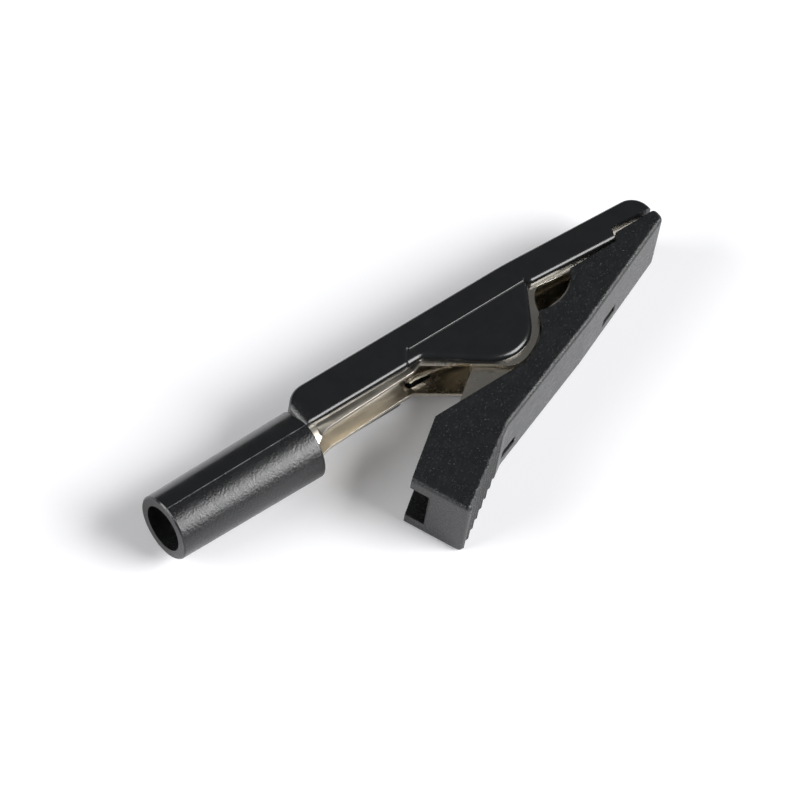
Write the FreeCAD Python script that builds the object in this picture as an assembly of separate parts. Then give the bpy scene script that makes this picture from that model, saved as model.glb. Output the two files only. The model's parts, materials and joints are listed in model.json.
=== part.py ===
import FreeCAD, Part
import math
import os
from FreeCAD import Vector

# Insulated crocodile clip, 55 mm long, with a socket for a 4 mm plug in its barrel. It has six pieces:
# a moulded body that ends in the barrel, a moulded lever, an upper and a lower jaw of bent sheet steel,
# a pivot pin and a torsion spring.
# The clip's own axes run from the middle of the barrel's mouth: X to the jaw tips, Y from the lever to
# the body and Z across the clip. place() moves the finished pieces to the part's frame, whose origin is
# under the middle of the clip, on the side face that it lies on.
os.makedirs("parts", exist_ok=True)

# Driving sizes, in millimetres and degrees

# Across the clip
clip_width = 7.0
side_wall = 0.85
side_play = 0.05
cheek_recess = 0.2
edge_round = 0.45

# Barrel
barrel_length = 15.3
mouth_radius = 3.1
root_radius = 3.25
mouth_bore_radius = 2.2
lip_bore_radius = 2.05
lip_length = 2.5
mouth_chamfer = 0.13

# Sheet metal
sheet = 0.4
socket_radius = 2.0
seam_width = 0.35
channel_half = 2.1
fold_radius = 0.7
ear_fold_radius = 0.6
blank_depth = 14.0

# Upper jaw: places along it, its neck's edge counted from the barrel's root, its lobe's from the pivot
strip_start = 1.0
strip_overlap = 0.05
root_sink = 0.01
neck_end = 2.8
channel_end = -8.2
widening_end = -7.3
neck_rear_edge = (-0.2, -2.05)
neck_middle_edge = (1.05, -1.22)
neck_front_edge = (2.8, -0.78)
channel_end_edge = (-8.2, 0.05)
lobe_start = (-7.4, 0.17)
lobe_rear_corner = (-6.54, -0.42)
lobe_rear_low = (-1.9, -3.65)
lobe_low_middle = (-0.6, -4.62)
lobe_low = (1.2, -4.5)
lobe_front_middle = (3.5, -3.15)
lobe_front = (4.85, -1.33)
lobe_top_middle = (5.25, -0.3)
lobe_top = (6.4, 0.77)

# Bar of the body, with heights counted from the barrel's axis
bar_top = 3.55
bar_rim = -0.2
bar_rim_over_cheek = 1.0
bar_rim_ahead_of_cheek = 0.55
bar_rim_at_nose = -0.3
bar_overlap = 0.3
ledge_rear = -7.8
ledge_front = 5.4
ledge_slope = 0.9
ledge_height = 1.55
top_wall = 1.15
shoulder_radius = 2.4
shoulder_corner = 0.9
shoulder_wall = 1.4
ledge_round = 0.12
slope_start = 4.7
slope_radius = 30.0
nose_drop = 0.75
nose_radius = 1.9
nose_corner = 0.5
rim_corner = 0.6

# Pivot, and the reach of the jaws from it
pivot_from_barrel = 20.0
pivot_below_axis = 0.5
body_reach = 19.95
lever_reach = 20.2
nose_wall = 0.8
pin_radius = 0.75
pin_play = 0.05
pin_chamfer = 0.1

# Cheeks of the body, as distances of their edges from the pivot
cheek_reach = 4.0
cheek_front_reach = 4.0
cheek_rear_slope = 37.2
cheek_front_slope = 56.4
cheek_round = 0.55
cheek_shelf = -0.15
cheek_roof = 2.05
cheek_rear = -9.0
cheek_shelf_corner = 0.8

# Lever, with places counted from the pivot
lever_gap_radius = 4.85
lever_floor_wall = 1.1
grip_end_inner = (-16.0, -9.3)
grip_end_outer = (-13.75, -14.8)
grip_corner = (-10.2, -5.33)
heel = (-5.3, -9.57)
heel_radius = 2.5
lever_belly = (7.45, -5.19)
belly_radius = 12.0
lever_nose_low = -0.23
lever_round = 0.42
half_moon_centre = (5.98, 2.08)
half_moon_radius = 4.1
lever_top = 0.2
lever_nose_top = 0.92
lever_nose_round = 0.65
front_step = 5.1
front_step_run = 0.4
body_bite_rear = 1.12
body_bite_front = 0.72
lever_gap_floor = (0.3, -5.33)
lever_gap_front = (2.3, -4.3)
narrow_behind = 9.0
grip_notch_depth = 2.1
grip_wall = 1.4
grip_corner_round = 0.5

# Serrations of the grip
serration_count = 7
serration_pitch = 1.15
serration_start = 1.0
serration_radius = 0.65
serration_depth = 0.3

# Recesses in the lever's outer face
recess_length = 2.2
recess_width = 1.8
recess_depth = 0.45
recess_lift = 0.3
recess_side = 1.2
recess_places = (-4.4, 12.0)

# Teeth
tooth_pitch = 1.1
tooth_depth = 0.5
tooth_gap = 0.06
bite_rear = (10.2, 0.5)
bite_front = (19.0, 1.05)

# Lower jaw: its tail, its ears, and the half-moon in its walls, counted from the pivot
tail_reach = 12.6
tail_wall = 1.5
tail_end_drop = 0.6
ear_widening_start = 5.5
ear_widening_end = 6.6
ear_rear_low = (-7.6, -5.4)
ear_rear_bend = (-6.6, -4.57)
ear_rear_top = (-2.9, -2.07)
ear_radius = 1.6
ear_rear_angle = 190.0
ear_top_angle = 100.0
ear_front_angle = 25.0
moon_rear_end = 4.6
metal_moon_centre = (6.4, 2.9)
metal_moon_radius = 4.35

# Spring
wire_radius = 0.225
wire_play = 0.025
coil_radius = 1.1
coil_pitch = 0.6
coil_first_angle = 130.0
coil_last_part_turn = 170.0
coil_runs_per_turn = 10
wire_sides = 16
leg_hook = (-7.1, 1.22)
hook_corner = 0.25
leg_bend = (-1.7, 0.23)
lower_leg_tip = (-4.75, -7.42)
slot_rear = 0.6
slot_front = 2.2
slot_above = 0.3
slot_below = 0.45

# Sizes that follow from the driving ones
half_width = clip_width / 2
cavity_half = half_width - side_wall
jaw_half = cavity_half - side_play
ear_half = jaw_half - sheet - side_play
tube_radius = socket_radius + sheet
bore_radius = tube_radius + side_play
web_top = bar_top - top_wall
pivot_x = barrel_length + pivot_from_barrel
pivot_y = -pivot_below_axis
slope_x = pivot_x + slope_start
body_nose = pivot_x + body_reach
lever_nose = pivot_x + lever_reach
upper_tip = body_nose - nose_wall - side_play
lower_tip = lever_nose - lever_floor_wall - side_play
tooth_count = int((min(upper_tip, lower_tip) - pivot_x - bite_rear[0]) / tooth_pitch)
front_step_x = lever_nose - front_step
leg_z = wire_radius + wire_play + sheet - ear_half
coil_turns = int(-2 * leg_z / coil_pitch - coil_last_part_turn / 360.0)
beyond = 2 * clip_width


def from_pivot(along, up):
    """The point at this distance from the pivot along X and Y."""
    return (pivot_x + along, pivot_y + up)


def from_root(along, height):
    """The point at this distance from the barrel's root along X, at this height over the barrel's axis."""
    return (barrel_length + along, height)


def around_pivot(radius, degrees):
    """The point on a circle round the pivot."""
    turn = math.radians(degrees)
    return from_pivot(radius * math.cos(turn), radius * math.sin(turn))


def meet(first, second):
    """The point where two lines meet. Each is given by its distance from the pivot and its normal's angle."""
    distance_a, angle_a = first
    distance_b, angle_b = second
    ax, ay = math.cos(math.radians(angle_a)), math.sin(math.radians(angle_a))
    bx, by = math.cos(math.radians(angle_b)), math.sin(math.radians(angle_b))
    cross = ax * by - ay * bx
    return from_pivot((distance_a * by - distance_b * ay) / cross, (distance_b * ax - distance_a * bx) / cross)


def at(point, z=0.0):
    return Vector(point[0], point[1], z)


def outline(start, *steps):
    """A flat face in the XY plane. A step is the next corner, or a pair: an arc's middle and its end."""
    edges = []
    here = start
    for step in steps + (start,):
        if isinstance(step[0], tuple):
            middle, end = step
            edges.append(Part.Arc(at(here), at(middle), at(end)).toShape())
        else:
            end = step
            edges.append(Part.LineSegment(at(here), at(end)).toShape())
        here = end
    return Part.Face(Part.Wire(edges))


def rounded_outline(*corners):
    """A flat face in the XY plane from corners that each have a radius: ((x, y), radius)."""
    points = [at(corner) for corner, radius in corners]
    runs = []
    for index, (corner, radius) in enumerate(corners):
        here = points[index]
        back = (points[index - 1] - here).normalize()
        onward = (points[(index + 1) % len(points)] - here).normalize()
        half_angle = back.getAngle(onward) / 2
        run = radius / math.tan(half_angle)
        inward = (back + onward).normalize()
        middle = here + inward * (radius / math.sin(half_angle) - radius)
        runs.append((here + back * run, middle, here + onward * run, radius))
    edges = []
    for index, (first, middle, last, radius) in enumerate(runs):
        if radius:
            edges.append(Part.Arc(first, middle, last).toShape())
        following = runs[(index + 1) % len(runs)][0]
        edges.append(Part.LineSegment(last, following).toShape())
    return Part.Face(Part.Wire(edges))


def slab(face, half):
    """The face made into a plate that reaches this far to each side of the clip's middle plane."""
    return face.translated(Vector(0, 0, -half)).extrude(Vector(0, 0, 2 * half))


def soft_slab(face, half, radius):
    """A slab with the edges of both its side faces rounded."""
    plate = slab(face, half)
    rims = [edge for edge in plate.Edges if edge.BoundBox.ZLength < radius]
    return plate.makeFillet(radius, rims)


def rod_x(radius, start, end, centre=(0.0, 0.0)):
    """A round rod along X about the line at this Y and Z."""
    return Part.makeCylinder(radius, end - start, Vector(start, centre[0], centre[1]), Vector(1, 0, 0))


def rod_z(radius, half, centre):
    """A round rod along Z that reaches this far to each side of the middle plane."""
    return Part.makeCylinder(radius, 2 * half, at(centre, -half), Vector(0, 0, 1))


def upright(face):
    """The face drawn with X and Z as its axes, made into a prism that runs through the clip along Y."""
    turned = face.rotated(Vector(0, 0, 0), Vector(1, 0, 0), 90)
    return turned.translated(Vector(0, -beyond, 0)).extrude(Vector(0, 2 * beyond, 0))


def bent_sheet(stations, leg_length, side):
    """A U-shaped strip of sheet that runs through stations (x, half width, bend radius, web height, slope).
    side is 1 for a channel that opens towards the lever, and -1 for one that opens towards the body."""
    sections = []
    for x, half, bend, web, slope in stations:
        thickness = sheet / math.cos(math.radians(slope))
        inner_half = half - sheet
        diagonal = 1 - math.cos(math.pi / 4)

        def curve(level, reach, radius):
            """Three points on the bend at the +Z side of the surface at this height and half width."""
            shelf = level - side * radius
            return ((shelf, reach), (level - side * radius * diagonal, reach - radius * diagonal),
                    (level, reach - radius))

        outside = curve(web, half, bend)
        inside = curve(web - side * thickness, inner_half, bend - sheet)
        foot = web - side * leg_length
        path = [(foot, half), outside, tuple((y, -z) for y, z in reversed(outside)), (foot, -half),
                (foot, -inner_half), tuple((y, -z) for y, z in inside), tuple(reversed(inside)), (foot, inner_half)]
        edges = []
        here = Vector(x, *path[0])
        for step in path[1:] + path[:1]:
            bends = isinstance(step[0], tuple)
            stops = [Vector(x, *stop) for stop in step] if bends else [Vector(x, *step)]
            edges.append(Part.LineSegment(here, stops[0]).toShape())
            if bends:
                edges.append(Part.Arc(*stops).toShape())
            here = stops[-1]
        sections.append(Part.Wire(edges))
    return Part.makeLoft(sections, True, True)


def body_shell():
    """Moulded body: the bar is a channel open towards the lever, with a cheek on each side of the pivot."""
    shoulder_x = barrel_length - bar_overlap
    rear_x = pivot_x + ledge_rear
    front_x = pivot_x + ledge_front
    bar = soft_slab(rounded_outline(
        ((shoulder_x, bar_rim), rim_corner),
        ((shoulder_x, bar_top), shoulder_radius),
        ((slope_x, bar_top), slope_radius),
        ((body_nose, bar_top - nose_drop), nose_radius),
        ((body_nose, bar_rim_at_nose), rim_corner),
        ((front_x + bar_overlap, bar_rim_ahead_of_cheek), rim_corner),
        ((front_x, bar_rim_over_cheek), ledge_round),
        ((rear_x, bar_rim_over_cheek), bar_overlap),
        ((rear_x - ledge_slope, bar_rim), rim_corner),
    ), half_width, edge_round)
    front_end = body_nose + 2 * nose_corner
    corners = rounded_outline(
        ((shoulder_x, -half_width), shoulder_corner),
        ((shoulder_x, half_width), shoulder_corner),
        ((front_end, half_width), nose_corner),
        ((front_end, -half_width), nose_corner),
    )
    bar = bar.common(upright(corners))
    ledge_top = bar_rim_over_cheek + ledge_height
    ledge = soft_slab(rounded_outline(
        ((rear_x, bar_rim_over_cheek), ledge_round),
        ((rear_x, ledge_top), ledge_round),
        ((front_x, ledge_top), ledge_round),
        ((front_x, bar_rim_over_cheek), ledge_round),
    ), half_width, ledge_round)

    # Cheeks: two straight edges that are tangents of the round end
    rear_line = (cheek_reach, -90.0 - cheek_rear_slope)
    front_line = (cheek_front_reach, cheek_front_slope - 90.0)
    shelf_line = (cheek_shelf - pivot_y, 90.0)
    roof_line = (cheek_roof - pivot_y, 90.0)
    cheek = soft_slab(rounded_outline(
        ((pivot_x + cheek_rear, cheek_roof), nose_corner),
        ((pivot_x + cheek_rear, cheek_shelf), nose_corner),
        (meet(rear_line, shelf_line), cheek_shelf_corner),
        (meet(rear_line, front_line), cheek_reach),
        (meet(front_line, roof_line), nose_corner),
    ), half_width - cheek_recess, cheek_round)

    barrel = Part.makeCone(mouth_radius, root_radius, barrel_length, Vector(0, 0, 0), Vector(1, 0, 0))
    barrel = barrel.makeChamfer(mouth_chamfer, [edge for edge in barrel.Edges if edge.BoundBox.XMax < lip_length])
    shell = bar.fuse([ledge, cheek, barrel])

    # Space for the upper jaw, and the barrel's bore with its mouth that leads the plug in
    cavity_start = shoulder_x + shoulder_wall
    cavity_end = body_nose - nose_wall
    cavity = slab(outline(
        (cavity_start, -beyond),
        (cavity_start, web_top),
        (slope_x, web_top),
        (cavity_end, web_height(cavity_end)),
        (cavity_end, -beyond),
    ), cavity_half)
    bore = rod_x(bore_radius, lip_length, cavity_start + bar_overlap)
    mouth = Part.makeCone(mouth_bore_radius, lip_bore_radius, lip_length, Vector(0, 0, 0), Vector(1, 0, 0))
    # The front of the side walls steps up, clear of the lever's nose
    bite = slab(outline(
        (front_step_x, -beyond),
        (front_step_x, 0.0),
        (front_step_x + front_step_run, body_bite_rear),
        (front_end, body_bite_front),
        (front_end, -beyond),
    ), clip_width)
    return shell.cut([cavity, bore, mouth, bite]).removeSplitter()


def web_height(x):
    """Height of the upper jaw's back, which follows the bar's top."""
    return web_top - nose_drop * max(0, x - slope_x) / (body_nose - slope_x)


def bite_line(side):
    """The zigzag of the teeth from rear to front, shifted by half the gap towards one jaw."""
    rear = from_pivot(*bite_rear)
    front = from_pivot(*bite_front)
    slope = (front[1] - rear[1]) / (front[0] - rear[0])
    points = []
    for index in range(2 * tooth_count + 1):
        x = rear[0] + index * tooth_pitch / 2
        zigzag = tooth_depth / 2 if index % 2 else -tooth_depth / 2
        points.append((x, rear[1] + slope * (x - rear[0]) + zigzag + side * tooth_gap / 2))
    return points


def upper_jaw():
    """Upper jaw of bent sheet: socket tube, channel, ears over the lower jaw's ears, and teeth."""
    start = barrel_length + strip_start
    root_half = tube_radius - root_sink
    channel_bend = channel_half - sheet / 2
    strip = bent_sheet([
        (start, root_half, root_half - sheet / 4, root_half, 0),
        (barrel_length + neck_end, channel_half, channel_bend, web_top, 0),
        (pivot_x + channel_end, channel_half, channel_bend, web_top, 0),
        (pivot_x + widening_end, jaw_half, fold_radius, web_top, 0),
        (slope_x, jaw_half, fold_radius, web_top, 0),
        (upper_tip, jaw_half, fold_radius, web_height(upper_tip), 0),
    ], blank_depth, 1)
    tube = rod_x(tube_radius, lip_length, start + strip_overlap).cut(rod_x(socket_radius, 0, start + neck_end))
    seam = Part.makeBox(start + neck_end, 2 * tube_radius, seam_width, Vector(0, -2 * tube_radius, -seam_width / 2))
    sheet_metal = strip.fuse(tube.cut(seam))

    teeth = bite_line(1)
    side_view = slab(outline(
        (0.0, beyond),
        (0.0, -beyond),
        (barrel_length + neck_rear_edge[0], -beyond),
        from_root(*neck_rear_edge),
        (from_root(*neck_middle_edge), from_root(*neck_front_edge)),
        from_pivot(*channel_end_edge),
        from_pivot(*lobe_start),
        from_pivot(*lobe_rear_corner),
        from_pivot(*lobe_rear_low),
        (from_pivot(*lobe_low_middle), from_pivot(*lobe_low)),
        (from_pivot(*lobe_front_middle), from_pivot(*lobe_front)),
        (from_pivot(*lobe_top_middle), from_pivot(*lobe_top)),
        *teeth,
        (upper_tip + sheet, teeth[-1][1]),
        (upper_tip + sheet, beyond),
    ), clip_width)
    pin_hole = rod_z(pin_radius, clip_width, (pivot_x, pivot_y))
    rear, height = from_pivot(leg_hook[0] - slot_rear, leg_hook[1])
    front = rear + slot_rear + slot_front
    slot = slab(rounded_outline(
        ((rear, height - slot_below), slot_above),
        ((rear, height + slot_above), slot_above),
        ((front, height + slot_above), slot_above),
        ((front, height - slot_below), slot_above),
    ), half_width).translated(Vector(0, 0, -half_width))
    return sheet_metal.common(side_view).cut([pin_hole, slot]).removeSplitter()


def lever_outline(top, inset=0.0):
    """Side view of the lever's outer form, open to this height, drawn in from its outer faces by inset."""
    corners = [
        (from_pivot(-17.2, top), 0.6),
        (from_pivot(grip_end_inner[0] - 0.7, grip_end_inner[1] + 1.7), 0.6),
        (from_pivot(*grip_end_outer), grip_corner_round),
        (from_pivot(*heel), heel_radius),
        (from_pivot(*lever_belly), belly_radius),
        (from_pivot(lever_reach, lever_nose_low), 0.7),
        (from_pivot(lever_reach, top), 0.6),
    ]
    face = rounded_outline(*corners)
    if inset:
        face = face.makeOffset2D(-inset)
    return face


def lever_shell():
    """Moulded lever: a channel open towards the body, with a serrated grip at its rear end."""
    form = soft_slab(lever_outline(half_width), half_width, lever_round)

    # Space above the lever's inner edge, the gap round the cheeks, and the half-moon cut-out
    above = slab(outline(
        from_pivot(2 * grip_end_inner[0] - grip_corner[0], 2 * grip_end_inner[1] - grip_corner[1]),
        from_pivot(*grip_corner),
        from_pivot(*lever_gap_floor),
        from_pivot(*lever_gap_front),
        from_pivot(lever_gap_front[0], beyond),
        from_pivot(2 * grip_end_inner[0] - grip_corner[0], beyond),
    ), clip_width)
    cheek_gap = rod_z(lever_gap_radius, clip_width, (pivot_x, pivot_y))
    half_moon = rod_z(half_moon_radius, clip_width, from_pivot(*half_moon_centre))
    nose_foot = lever_nose_top - 2 * lever_nose_round
    bite = slab(rounded_outline(
        ((pivot_x, pivot_y + lever_top), 0),
        ((front_step_x, pivot_y + lever_top), 0),
        ((front_step_x + front_step_run, pivot_y + lever_nose_top), 0),
        (from_pivot(lever_reach, lever_nose_top), lever_nose_round),
        (from_pivot(lever_reach, nose_foot), 0),
        (from_pivot(lever_reach + clip_width, nose_foot), 0),
        (from_pivot(lever_reach + clip_width, beyond), 0),
        (from_pivot(0.0, beyond), 0),
    ), clip_width)

    # Space for the lower jaw, narrower in the grip, and the notch in the grip's end
    wide = slab(lever_outline(beyond, lever_floor_wall), cavity_half)
    keep_wide = Part.makeBox(lever_nose, 4 * beyond, clip_width,
                             Vector(pivot_x - narrow_behind, -2 * beyond, -half_width))
    narrow = slab(lever_outline(beyond, grip_wall), ear_half)
    end = Vector(*from_pivot(*grip_end_inner), 0)
    along = (Vector(*from_pivot(*grip_corner), 0) - end).normalize()
    inward = Vector(along.y, -along.x, 0)
    behind, ahead = along * -sheet, along * (grip_wall + recess_length)
    notch_corners = [end + behind - inward, end + behind + inward * grip_notch_depth,
                     end + ahead + inward * grip_notch_depth, end + ahead - inward]
    notch = slab(outline(*[(corner.x, corner.y) for corner in notch_corners]), ear_half)

    cutters = [above, cheek_gap, half_moon, bite, wide.common(keep_wide), narrow, notch]
    cutters += serrations() + recesses()
    return form.cut(cutters).removeSplitter()


def serrations():
    """Round grooves across the grip's outer face."""
    end = Vector(*from_pivot(*grip_end_outer), 0)
    start = Vector(*from_pivot(*heel), 0)
    along = (start - end).normalize()
    outward = Vector(along.y, -along.x, 0)
    grooves = []
    for index in range(serration_count):
        centre = end + along * (serration_start + index * serration_pitch)
        centre = centre + outward * (serration_radius - serration_depth)
        grooves.append(rod_z(serration_radius, clip_width, (centre.x, centre.y)))
    return grooves


def recesses():
    """Shallow wedge-shaped recesses in the lever's outer face, deepest towards one side."""
    wedges = []
    belly = Vector(*from_pivot(*lever_belly), 0)
    for place in recess_places:
        end = Vector(*(from_pivot(*heel) if place < lever_belly[0] else from_pivot(lever_reach, lever_nose_low)), 0)
        along = (belly - end).normalize()
        if along.x < 0:
            along = along * -1
        inward = Vector(-along.y, along.x, 0)
        middle = belly + along * ((place - lever_belly[0]) / along.x)
        surface = middle - inward * recess_lift
        shallow = surface + Vector(0, 0, recess_width / 2 - recess_side)
        deep_out = surface + Vector(0, 0, -recess_width / 2 - recess_side)
        deep_in = middle + inward * recess_depth + Vector(0, 0, -recess_width / 2 - recess_side)
        wedge = Part.Face(Part.makePolygon([shallow, deep_out, deep_in, shallow]))
        wedges.append(wedge.translated(along * (-recess_length / 2)).extrude(along * recess_length))
    return wedges


def lower_jaw():
    """Lower jaw of bent sheet: tail in the grip, ears between the upper jaw's ears, and teeth."""
    corners = floor_line()
    tail_x = pivot_x - tail_reach
    tail_top = floor_height(corners, tail_x) + tail_wall

    def station(x, half):
        """The slope is the mean of the floor's slopes just behind this X and just ahead of it."""
        rise = floor_height(corners, x + sheet) - floor_height(corners, x - sheet)
        return (x, half, ear_fold_radius, floor_height(corners, x), math.degrees(math.atan(rise / (2 * sheet))))

    strip = bent_sheet([
        station(tail_x, ear_half - 2 * side_play),
        station(corners[1][0], ear_half - side_play),
        station(pivot_x + ear_widening_start, ear_half),
        station(pivot_x + ear_widening_end, jaw_half),
        station(corners[2][0], jaw_half),
        station(lower_tip, jaw_half),
    ], blank_depth, -1)
    teeth = bite_line(-1)
    moon = from_pivot(*metal_moon_centre)
    moon_low = (moon[0], moon[1] - metal_moon_radius)
    rear_run = metal_moon_centre[0] - moon_rear_end
    moon_rear = (moon[0] - rear_run, moon[1] - math.sqrt(metal_moon_radius ** 2 - rear_run ** 2))
    front_run = math.sqrt(metal_moon_radius ** 2 - (moon[1] - teeth[0][1]) ** 2)
    moon_front = (moon[0] + front_run, teeth[0][1])
    side_view = slab(outline(
        (tail_x - sheet, -2 * beyond),
        (tail_x - sheet, tail_top - tail_end_drop),
        (tail_x, tail_top),
        from_pivot(*ear_rear_low),
        from_pivot(*ear_rear_bend),
        from_pivot(*ear_rear_top),
        around_pivot(ear_radius, ear_rear_angle),
        (around_pivot(ear_radius, ear_top_angle), around_pivot(ear_radius, ear_front_angle)),
        moon_rear,
        (moon_low, moon_front),
        *teeth,
        (lower_tip + sheet, teeth[-1][1]),
        (lower_tip + sheet, -2 * beyond),
    ), clip_width)
    pin_hole = rod_z(pin_radius + pin_play, clip_width, (pivot_x, pivot_y))
    return strip.common(side_view).cut(pin_hole).removeSplitter()


def floor_line():
    """Corners of the surface that the lower jaw's web lies on, inside the lever."""
    outer = [from_pivot(*grip_end_outer), from_pivot(*heel), from_pivot(*lever_belly),
             from_pivot(lever_reach, lever_nose_low)]
    walls = [grip_wall, lever_floor_wall, lever_floor_wall]
    lines = []
    for index in range(3):
        start = Vector(*outer[index], 0)
        along = (Vector(*outer[index + 1], 0) - start).normalize()
        inward = Vector(-along.y, along.x, 0)
        lines.append((start + inward * (walls[index] + side_play), along))
    points = [lines[0][0]]
    for (start_a, along_a), (start_b, along_b) in zip(lines, lines[1:]):
        cross = along_a.x * along_b.y - along_a.y * along_b.x
        gap = start_b - start_a
        reach = (gap.x * along_b.y - gap.y * along_b.x) / cross
        points.append(start_a + along_a * reach)
    last_start, last_along = lines[-1]
    points.append(last_start + last_along * lever_reach)
    return [(point.x, point.y) for point in points]


def floor_height(points, x):
    """Height of the web's underside at this X."""
    for (x_a, y_a), (x_b, y_b) in zip(points, points[1:]):
        if x <= x_b:
            return y_a + (y_b - y_a) * (x - x_a) / (x_b - x_a)
    return points[-1][1]


def pivot_pin():
    """Pin through the four ears, flush with the upper jaw's."""
    pin = rod_z(pin_radius, jaw_half, (pivot_x, pivot_y))
    ends = [edge for edge in pin.Edges if edge.BoundBox.ZLength < 0.01]
    return pin.makeChamfer(pin_chamfer, ends)


def spring():
    """Torsion spring: a coil round the pin, a leg hooked into the upper jaw's slot and a leg on the lower web.
    The wire is many-sided and follows short straight runs, which keeps its facets few."""
    hook_x, hook_y = from_pivot(*leg_hook)
    bend = from_pivot(*leg_bend)
    inward = (Vector(*bend, 0) - Vector(hook_x, hook_y, 0)).normalize() * hook_corner
    path = [Vector(hook_x, hook_y, wire_radius - jaw_half), Vector(hook_x, hook_y, leg_z - hook_corner),
            Vector(hook_x + inward.x, hook_y + inward.y, leg_z), at(bend, leg_z)]
    turn = 360.0 * coil_turns + coil_last_part_turn
    runs = round(coil_runs_per_turn * turn / 360.0)
    for index in range(runs + 1):
        turned = turn * index / runs
        path.append(at(around_pivot(coil_radius, coil_first_angle - turned), leg_z + coil_pitch * turned / 360.0))
    path.append(at(from_pivot(*lower_leg_tip), path[-1].z))
    rim = Part.makeCircle(wire_radius, path[0], path[1] - path[0]).discretize(wire_sides + 1)
    section = Part.Wire(Part.makePolygon(rim))
    right_corners = 1
    return Part.Wire(Part.makePolygon(path)).makePipeShell([section], True, False, right_corners)


def place(shapes):
    """All pieces moved so that the origin is under the middle of the clip, on its lower side face."""
    box = Part.makeCompound(list(shapes.values())).optimalBoundingBox(False, False)
    shift = Vector(-box.Center.x, -box.Center.y, half_width)
    return {name: shape.translated(shift) for name, shape in shapes.items()}, shift


pieces = {
    "body_shell": body_shell(),
    "lever_shell": lever_shell(),
    "upper_jaw": upper_jaw(),
    "lower_jaw": lower_jaw(),
    "pivot_pin": pivot_pin(),
    "spring": spring(),
}
placed, shift = place(pieces)
for name, shape in placed.items():
    print(name, "solids", len(shape.Solids), "valid", shape.isValid(), "volume", round(shape.Volume, 3))
    shape.exportStep(f"parts/{name}.step")
print("shift", [round(value, 4) for value in shift])
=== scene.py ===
import bpy
import bmesh
import json
import math
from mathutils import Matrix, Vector


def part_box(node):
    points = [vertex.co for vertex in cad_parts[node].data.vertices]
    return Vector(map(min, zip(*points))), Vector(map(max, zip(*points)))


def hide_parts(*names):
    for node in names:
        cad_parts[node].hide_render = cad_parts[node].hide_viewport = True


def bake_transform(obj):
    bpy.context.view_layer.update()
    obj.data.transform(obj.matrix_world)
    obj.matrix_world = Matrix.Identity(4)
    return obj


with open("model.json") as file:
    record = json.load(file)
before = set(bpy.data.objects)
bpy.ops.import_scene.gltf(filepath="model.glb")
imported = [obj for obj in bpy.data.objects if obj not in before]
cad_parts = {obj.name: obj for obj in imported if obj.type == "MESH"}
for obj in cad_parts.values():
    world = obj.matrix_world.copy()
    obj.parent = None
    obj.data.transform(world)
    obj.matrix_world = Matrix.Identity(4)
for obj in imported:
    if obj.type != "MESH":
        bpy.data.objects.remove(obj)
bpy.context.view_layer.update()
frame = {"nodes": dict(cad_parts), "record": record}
nodes = frame["nodes"]
record = frame["record"]
mounts = {mount["name"]: Vector(mount["pos_m"]) for mount in record["mounts"]}
MM = 0.001


# Body insulator: bar, cheeks and barrel in one moulding of black polyamide, made in a polished two-part
# tool whose halves meet along the barrel's middle. The barrel's lower half and the shoulder have a fine
# grain from spark erosion, the rest is smooth, and a thin witness line runs where the halves meet.
def linear(hex_colour):
    """An sRGB hex colour as linear RGBA."""
    parts = [int(hex_colour[i:i + 2], 16) / 255 for i in (1, 3, 5)]
    return [c / 12.92 if c <= 0.04045 else ((c + 0.055) / 1.055) ** 2.4 for c in parts] + [1.0]


def node(material, kind, settings=None, links=None):
    """Adds a node, with its own settings and socket values, and links into its inputs.
    A socket goes by its name, which is the first of that name, or by its number."""
    made = material.node_tree.nodes.new(kind)
    for name, value in (settings or {}).items():
        if isinstance(name, str) and hasattr(made, name):
            setattr(made, name, value)
        else:
            made.inputs[name].default_value = value
    for name, source in (links or {}).items():
        material.node_tree.links.new(source, made.inputs[name])
    return made


def blank_material(name):
    """A material with no nodes yet."""
    material = bpy.data.materials.new(name)
    material.use_nodes = True
    material.node_tree.nodes.clear()
    return material


def finish_material(material, shader):
    """Links the shader to the material's output."""
    out = node(material, "ShaderNodeOutputMaterial")
    material.node_tree.links.new(shader, out.inputs["Surface"])


def dress(cad_node, material):
    """Gives a CAD node its material."""
    mesh = nodes[cad_node].data
    if not mesh.materials:
        mesh.materials.append(material)
    for index in range(len(mesh.materials)):
        mesh.materials[index] = material


# A colour mix's sockets, which share their names with the mixes of other types
COLOUR_A, COLOUR_B, MIXED = 6, 7, 2

barrel_length = 15.3 * MM
barrel_axis = mounts["plug_socket"]
barrel_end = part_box("body_shell")[0].x + barrel_length
polyamide_ior = 1.58
body_grain_size = 0.2 * MM
body_grain_depth = 0.05 * MM
body_haze_size = 1.5 * MM

body_plastic = blank_material("black_polyamide_satin")
surface = node(body_plastic, "ShaderNodeTexCoord").outputs["Object"]
split = node(body_plastic, "ShaderNodeSeparateXYZ", links={"Vector": surface})
# Height above the tool's parting plane and distance past the barrel's root, in millimetres
above = node(body_plastic, "ShaderNodeMath",
             {"operation": "MULTIPLY_ADD", 1: 1 / MM, 2: -barrel_axis.y / MM}, {0: split.outputs["Y"]})
along = node(body_plastic, "ShaderNodeMath",
             {"operation": "MULTIPLY_ADD", 1: 1 / MM, 2: -barrel_end / MM}, {0: split.outputs["X"]})
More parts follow.
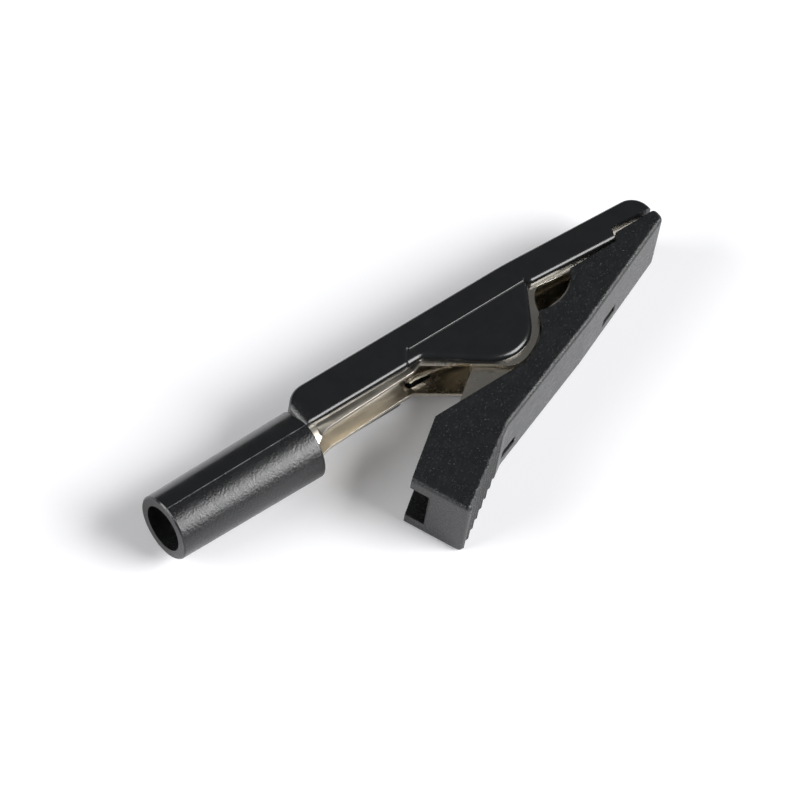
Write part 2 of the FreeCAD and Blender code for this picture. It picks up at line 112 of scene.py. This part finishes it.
# Where the tool is grained: the barrel below the parting plane, and the first 0.4 mm of the shoulder,
# past which the grain fades out by 0.9 mm
lower_half = node(body_plastic, "ShaderNodeMapRange",
                  {"From Min": 0.05, "From Max": -0.05}, {"Value": above.outputs[0]})
on_barrel = node(body_plastic, "ShaderNodeMapRange",
                 {"From Min": 0.0, "From Max": -0.2}, {"Value": along.outputs[0]})
up_to_shoulder = node(body_plastic, "ShaderNodeMapRange",
                      {"From Min": 0.9, "From Max": 0.4}, {"Value": along.outputs[0]})
shoulder = node(body_plastic, "ShaderNodeMath", {"operation": "SUBTRACT"},
                {0: up_to_shoulder.outputs[0], 1: on_barrel.outputs[0]})
grained_barrel = node(body_plastic, "ShaderNodeMath", {"operation": "MULTIPLY"},
                      {0: lower_half.outputs[0], 1: on_barrel.outputs[0]})
grained = node(body_plastic, "ShaderNodeMath", {"operation": "MAXIMUM"},
               {0: grained_barrel.outputs[0], 1: shoulder.outputs[0]})
# Spark-eroded grain. The real one is finer than 0.1 mm and is drawn 0.2 mm across so that it shows.
grain = node(body_plastic, "ShaderNodeTexNoise",
             {"Scale": 1 / body_grain_size, "Detail": 3.0, "Roughness": 0.6}, {"Vector": surface})
# Flow marks and handling haze
haze = node(body_plastic, "ShaderNodeTexNoise",
            {"Scale": 1 / body_haze_size, "Detail": 5.0, "Roughness": 0.6}, {"Vector": surface})
# Witness line of the tool's halves, 0.12 mm wide with soft edges, with a painted highlight of its ridge
# in a pale colour, patchy along it
line_side = node(body_plastic, "ShaderNodeMath", {"operation": "ABSOLUTE"}, {0: above.outputs[0]})
line = node(body_plastic, "ShaderNodeMapRange",
            {"From Min": 0.06, "From Max": 0.01, "interpolation_type": "SMOOTHSTEP"},
            {"Value": line_side.outputs[0]})
# It lies on the outside only, where the surface is more than 2.7 mm to the side of the axis
sideways = node(body_plastic, "ShaderNodeMath",
                {"operation": "MULTIPLY_ADD", 1: 1 / MM, 2: -barrel_axis.z / MM}, {0: split.outputs["Z"]})
off_axis = node(body_plastic, "ShaderNodeMath", {"operation": "ABSOLUTE"}, {0: sideways.outputs[0]})
outside = node(body_plastic, "ShaderNodeMapRange",
               {"From Min": 2.7, "From Max": 2.8}, {"Value": off_axis.outputs[0]})
outer_line = node(body_plastic, "ShaderNodeMath", {"operation": "MULTIPLY"},
                  {0: line.outputs[0], 1: outside.outputs[0]})
line_on_barrel = node(body_plastic, "ShaderNodeMath", {"operation": "MULTIPLY"},
                      {0: outer_line.outputs[0], 1: on_barrel.outputs[0]})
# The line's painted highlight comes and goes along it with the haze
line_highlight_patches = node(body_plastic, "ShaderNodeMapRange",
                 {"From Min": 0.35, "From Max": 0.6}, {"Value": haze.outputs["Fac"]})
line_highlight = node(body_plastic, "ShaderNodeMath", {"operation": "MULTIPLY"},
                 {0: line_on_barrel.outputs[0], 1: line_highlight_patches.outputs[0]})
# Relief: full grain where the tool is grained, a tenth of it elsewhere, and the line standing proud
grain_part = node(body_plastic, "ShaderNodeMapRange",
                  {"To Min": 0.1, "To Max": 1.0}, {"Value": grained.outputs[0]})
relief = node(body_plastic, "ShaderNodeMath", {"operation": "MULTIPLY"},
              {0: grain.outputs["Fac"], 1: grain_part.outputs[0]})
relief_line = node(body_plastic, "ShaderNodeMath", {"operation": "MULTIPLY_ADD", 1: 0.5},
                   {0: line_on_barrel.outputs[0], 2: relief.outputs[0]})
bump = node(body_plastic, "ShaderNodeBump",
            {"Strength": 0.8, "Distance": body_grain_depth}, {"Height": relief_line.outputs[0]})
hazy_roughness = node(body_plastic, "ShaderNodeMapRange",
                      {"From Min": 0.3, "From Max": 0.7, "To Min": 0.18, "To Max": 0.26},
                      {"Value": haze.outputs["Fac"]})
grain_roughness = node(body_plastic, "ShaderNodeMapRange",
                       {"To Min": 0.0, "To Max": 0.06}, {"Value": grained.outputs[0]})
roughness = node(body_plastic, "ShaderNodeMath", {"operation": "ADD"},
                 {0: hazy_roughness.outputs[0], 1: grain_roughness.outputs[0]})
tint = node(body_plastic, "ShaderNodeMix",
            {"data_type": "RGBA", COLOUR_A: linear("#151617"), COLOUR_B: linear("#1d1e1f")},
            {"Factor": haze.outputs["Fac"]})
# Pale tips of the grain, partly rubbed by handling and partly a painted highlight: the grain's sparkle on
# the shoulder and on the barrel's lower half
glint_and_wear = node(body_plastic, "ShaderNodeMapRange",
              {"From Min": 0.58, "From Max": 0.74, "To Min": 0.0, "To Max": 0.8},
              {"Value": grain.outputs["Fac"]})
glint_and_wear_tips = node(body_plastic, "ShaderNodeMath", {"operation": "MULTIPLY"},
                 {0: glint_and_wear.outputs[0], 1: grained.outputs[0]})
# The pale tips' colour, partly wear and partly painted highlight
glint_and_wear_tinted = node(body_plastic, "ShaderNodeMix", {"data_type": "RGBA", COLOUR_B: linear("#424648")},
              {"Factor": glint_and_wear_tips.outputs[0], COLOUR_A: tint.outputs[MIXED]})
# Painted highlight: the witness line's pale colour
line_highlighted = node(body_plastic, "ShaderNodeMix", {"data_type": "RGBA", COLOUR_B: linear("#6c6f72")},
             {"Factor": line_highlight.outputs[0], COLOUR_A: glint_and_wear_tinted.outputs[MIXED]})
plastic = node(body_plastic, "ShaderNodeBsdfPrincipled", {"IOR": polyamide_ior},
               {"Base Color": line_highlighted.outputs[MIXED], "Roughness": roughness.outputs[0],
                "Normal": bump.outputs[0]})
finish_material(body_plastic, plastic.outputs[0])
dress("body_shell", body_plastic)


# Lever insulator: the same black polyamide, from a tool that is spark-eroded all over, so its faces have
# an even grain that breaks light into fine specks. Its grip is ribbed across.
lever_grain_size = 0.26 * MM
lever_grain_depth = 0.07 * MM
lever_haze_size = 1.2 * MM
lever_edge_round = 0.14 * MM
speck_size = 0.16 * MM

lever_plastic = blank_material("black_polyamide_grained")
surface = node(lever_plastic, "ShaderNodeTexCoord").outputs["Object"]
# Spark-eroded grain. The real one is finer and is drawn 0.26 mm across so that it shows.
grain = node(lever_plastic, "ShaderNodeTexNoise",
             {"Scale": 1 / lever_grain_size, "Detail": 4.0, "Roughness": 0.75}, {"Vector": surface})
haze = node(lever_plastic, "ShaderNodeTexNoise",
            {"Scale": 1 / lever_haze_size, "Detail": 5.0, "Roughness": 0.6}, {"Vector": surface})
edges = node(lever_plastic, "ShaderNodeBevel", {"samples": 6, "Radius": lever_edge_round})
bump = node(lever_plastic, "ShaderNodeBump", {"Strength": 0.8, "Distance": lever_grain_depth},
            {"Height": grain.outputs["Fac"], "Normal": edges.outputs[0]})
roughness = node(lever_plastic, "ShaderNodeMapRange",
                 {"From Min": 0.3, "From Max": 0.7, "To Min": 0.25, "To Max": 0.31},
                 {"Value": haze.outputs["Fac"]})
tint = node(lever_plastic, "ShaderNodeMix",
            {"data_type": "RGBA", COLOUR_A: linear("#131415"), COLOUR_B: linear("#1b1d1e")},
            {"Factor": haze.outputs["Fac"]})
# Specks: pale tips of the grain, partly rubbed by handling and partly painted glints of the grain's
# sparkle
tips = node(lever_plastic, "ShaderNodeTexNoise",
            {"Scale": 1 / speck_size, "Detail": 2.0}, {"Vector": surface})
glint_and_wear = node(lever_plastic, "ShaderNodeMapRange",
              {"From Min": 0.62, "From Max": 0.74}, {"Value": tips.outputs["Fac"]})
# The specks' colour, partly wear and partly painted glint
glint_and_wear_speckled = node(lever_plastic, "ShaderNodeMix", {"data_type": "RGBA", COLOUR_B: linear("#4c5052")},
                {"Factor": glint_and_wear.outputs[0], COLOUR_A: tint.outputs[MIXED]})
plastic = node(lever_plastic, "ShaderNodeBsdfPrincipled", {"IOR": polyamide_ior},
               {"Base Color": glint_and_wear_speckled.outputs[MIXED], "Roughness": roughness.outputs[0],
                "Normal": bump.outputs[0]})
finish_material(lever_plastic, plastic.outputs[0])
dress("lever_shell", lever_plastic)


# Jaws: sheet steel, 0.4 mm thick, punched and bent, then barrel-plated with bright nickel. The plating
# is warm, mirrors its surroundings in long streaks and is slightly cloudy, more so inside the rolled
# neck, where it comes out dull.
cloud_size = 0.9 * MM
scuff_size = 0.15 * MM
scuff_depth = 0.006 * MM
wave_size = 1.0 * MM
wave_depth = 0.2 * MM
sheet_edge_round = 0.06 * MM
# Places along the clip: the plating is dullest up to the first and brightest from the second on
dull_up_to = barrel_end + 9.0 * MM
bright_from = barrel_end + 16.0 * MM

nickel = blank_material("bright_nickel_plate")
surface = node(nickel, "ShaderNodeTexCoord").outputs["Object"]
cloud = node(nickel, "ShaderNodeTexNoise",
             {"Scale": 1 / cloud_size, "Detail": 4.0, "Roughness": 0.55}, {"Vector": surface})
scuffs = node(nickel, "ShaderNodeTexNoise", {"Scale": 1 / scuff_size, "Detail": 2.0}, {"Vector": surface})
# The strip keeps long shallow waves from rolling, 1 mm across and 8 mm along
along_strip = node(nickel, "ShaderNodeMapping", {"Scale": (0.12, 1.0, 1.0)}, {"Vector": surface})
wave = node(nickel, "ShaderNodeTexNoise",
            {"Scale": 1 / wave_size, "Detail": 1.5}, {"Vector": along_strip.outputs[0]})
edges = node(nickel, "ShaderNodeBevel", {"samples": 6, "Radius": sheet_edge_round})
bump = node(nickel, "ShaderNodeBump", {"Strength": 0.5, "Distance": wave_depth},
            {"Height": wave.outputs["Fac"], "Normal": edges.outputs[0]})
fine_bump = node(nickel, "ShaderNodeBump", {"Strength": 0.1, "Distance": scuff_depth},
                 {"Height": scuffs.outputs["Fac"], "Normal": bump.outputs[0]})
cloudy = node(nickel, "ShaderNodeMapRange",
              {"From Min": 0.3, "From Max": 0.75, "To Min": 0.2, "To Max": 0.3},
              {"Value": cloud.outputs["Fac"]})
lengthwise = node(nickel, "ShaderNodeSeparateXYZ", links={"Vector": surface})
dull_neck = node(nickel, "ShaderNodeMapRange",
                 {"From Min": bright_from, "From Max": dull_up_to, "To Min": 0.0, "To Max": 0.13},
                 {"Value": lengthwise.outputs["X"]})
roughness = node(nickel, "ShaderNodeMath", {"operation": "ADD"},
                 {0: cloudy.outputs[0], 1: dull_neck.outputs[0]})
tint = node(nickel, "ShaderNodeMix",
            {"data_type": "RGBA", COLOUR_A: linear("#efe9dd"), COLOUR_B: linear("#ddd5c6")},
            {"Factor": cloud.outputs["Fac"]})
metal = node(nickel, "ShaderNodeBsdfPrincipled", {"Metallic": 1.0},
             {"Base Color": tint.outputs[MIXED], "Roughness": roughness.outputs[0],
              "Normal": fine_bump.outputs[0]})
finish_material(nickel, metal.outputs[0])
dress("upper_jaw", nickel)
dress("lower_jaw", nickel)


# Pivot pin and spring: bright drawn steel, whose wire shows fine lines from the drawing die.
drawing_line_size = 0.1 * MM
drawing_line_depth = 0.01 * MM

drawn_steel = blank_material("drawn_spring_steel")
surface = node(drawn_steel, "ShaderNodeTexCoord").outputs["Object"]
lines = node(drawn_steel, "ShaderNodeTexNoise",
             {"Scale": 1 / drawing_line_size, "Detail": 3.0}, {"Vector": surface})
bump = node(drawn_steel, "ShaderNodeBump",
            {"Strength": 0.2, "Distance": drawing_line_depth}, {"Height": lines.outputs["Fac"]})
roughness = node(drawn_steel, "ShaderNodeMapRange",
                 {"From Min": 0.3, "From Max": 0.7, "To Min": 0.14, "To Max": 0.28},
                 {"Value": lines.outputs["Fac"]})
steel = node(drawn_steel, "ShaderNodeBsdfPrincipled",
             {"Metallic": 1.0, "Base Color": linear("#dedad0")},
             {"Roughness": roughness.outputs[0], "Normal": bump.outputs[0]})
finish_material(drawn_steel, steel.outputs[0])
dress("pivot_pin", drawn_steel)

# The visible spring is a copy of its solid, with the facets' shared corners joined so that it shades
# smooth.
shared_corner = 0.002 * MM
hinge = Vector(record["behaviour"]["joints"][0]["pos_m"])
# The lower jaw's ear passes beside the upper leg as the jaws open, so the leg stands off from it by
# leg_clearance. The leg is all of the wire under the height leg_top that is further than leg_start from
# the hinge, and it has its full clearance from leg_clear on.
leg_clearance = 0.03 * MM
leg_start = 1.6 * MM
leg_clear = 2.6 * MM
leg_top = 2.5 * MM

bm = bmesh.new()
bm.from_mesh(nodes["spring"].data)
bmesh.ops.remove_doubles(bm, verts=bm.verts, dist=shared_corner)
for vert in bm.verts:
    if vert.co.z < leg_top:
        reach = math.hypot(vert.co.x - hinge.x, vert.co.y - hinge.y)
        vert.co.z += leg_clearance * min(max((reach - leg_start) / (leg_clear - leg_start), 0.0), 1.0)
for face in bm.faces:
    face.smooth = True
wire_mesh = bpy.data.meshes.new("torsion_spring")
bm.to_mesh(wire_mesh)
bm.free()
wire = bpy.data.objects.new("torsion_spring", wire_mesh)
bpy.context.scene.collection.objects.link(wire)
wire_mesh.materials.clear()
wire_mesh.materials.append(drawn_steel)
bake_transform(wire)
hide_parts("spring")


# Table: a plain white sheet that the clip lies on. The photograph's background is bleached, so camera,
# mirror and transmission rays see the sheet with a little light of its own. Its diffuse light on the
# clip has none of that.
table_half = 1.5
table_lift = 0.1

bm = bmesh.new()
bmesh.ops.create_grid(bm, x_segments=1, y_segments=1, size=table_half)
table_mesh = bpy.data.meshes.new("table")
bm.to_mesh(table_mesh)
bm.free()
table = bpy.data.objects.new("table", table_mesh)
bpy.context.scene.collection.objects.link(table)
white = blank_material("white_sheet")
path = node(white, "ShaderNodeLightPath")
seen_or_mirrored = node(white, "ShaderNodeMath", {"operation": "MAXIMUM"},
                        {0: path.outputs["Is Camera Ray"], 1: path.outputs["Is Glossy Ray"]})
seen = node(white, "ShaderNodeMath", {"operation": "MAXIMUM"},
            {0: seen_or_mirrored.outputs[0], 1: path.outputs["Is Transmission Ray"]})
paper = node(white, "ShaderNodeBsdfDiffuse", {"Color": linear("#fafafc")})
lift = node(white, "ShaderNodeMath", {"operation": "MULTIPLY", 1: table_lift}, {0: seen.outputs[0]})
glow = node(white, "ShaderNodeEmission", {"Color": linear("#ffffff")}, {"Strength": lift.outputs[0]})
both = node(white, "ShaderNodeAddShader", links={0: paper.outputs[0], 1: glow.outputs[0]})
finish_material(white, both.outputs[0])
table_mesh.materials.append(white)


# Studio: a dim even room and two large soft boxes, the stronger to the camera's right and the weaker to
# its left. The camera has a long lens, and its viewpoint was fitted to the photograph.
room_strength = 0.12

world = bpy.data.worlds.new("studio")
bpy.context.scene.world = world
world.use_nodes = True
room = world.node_tree.nodes["Background"]
room.inputs["Color"].default_value = linear("#f2f4f8")
room.inputs["Strength"].default_value = room_strength


def soft_box(name, place, size, power):
    """A square area light that faces the clip."""
    data = bpy.data.lights.new(name, "AREA")
    data.shape = "SQUARE"
    data.size = size
    data.energy = power
    lamp = bpy.data.objects.new(name, data)
    bpy.context.scene.collection.objects.link(lamp)
    lamp.location = place
    lamp.rotation_euler = Vector(place).to_track_quat("Z", "Y").to_euler()


soft_box("window", place=(0.58, -0.67, 0.65), size=0.72, power=16.0)
soft_box("reflector", place=(-0.86, 0.38, 0.44), size=0.7, power=8.0)

camera_data = bpy.data.cameras.new("camera")
camera_data.lens = 270.0
camera_data.sensor_width = 36.0
camera_data.clip_start = 0.01
camera = bpy.data.objects.new("camera", camera_data)
bpy.context.scene.collection.objects.link(camera)
camera.location = (-0.22047, -0.19556, 0.44087)
camera.rotation_euler = [math.radians(angle) for angle in (33.596, -6.14, -38.3)]
bpy.context.scene.camera = camera
bpy.context.scene.view_settings.view_transform = "Standard"
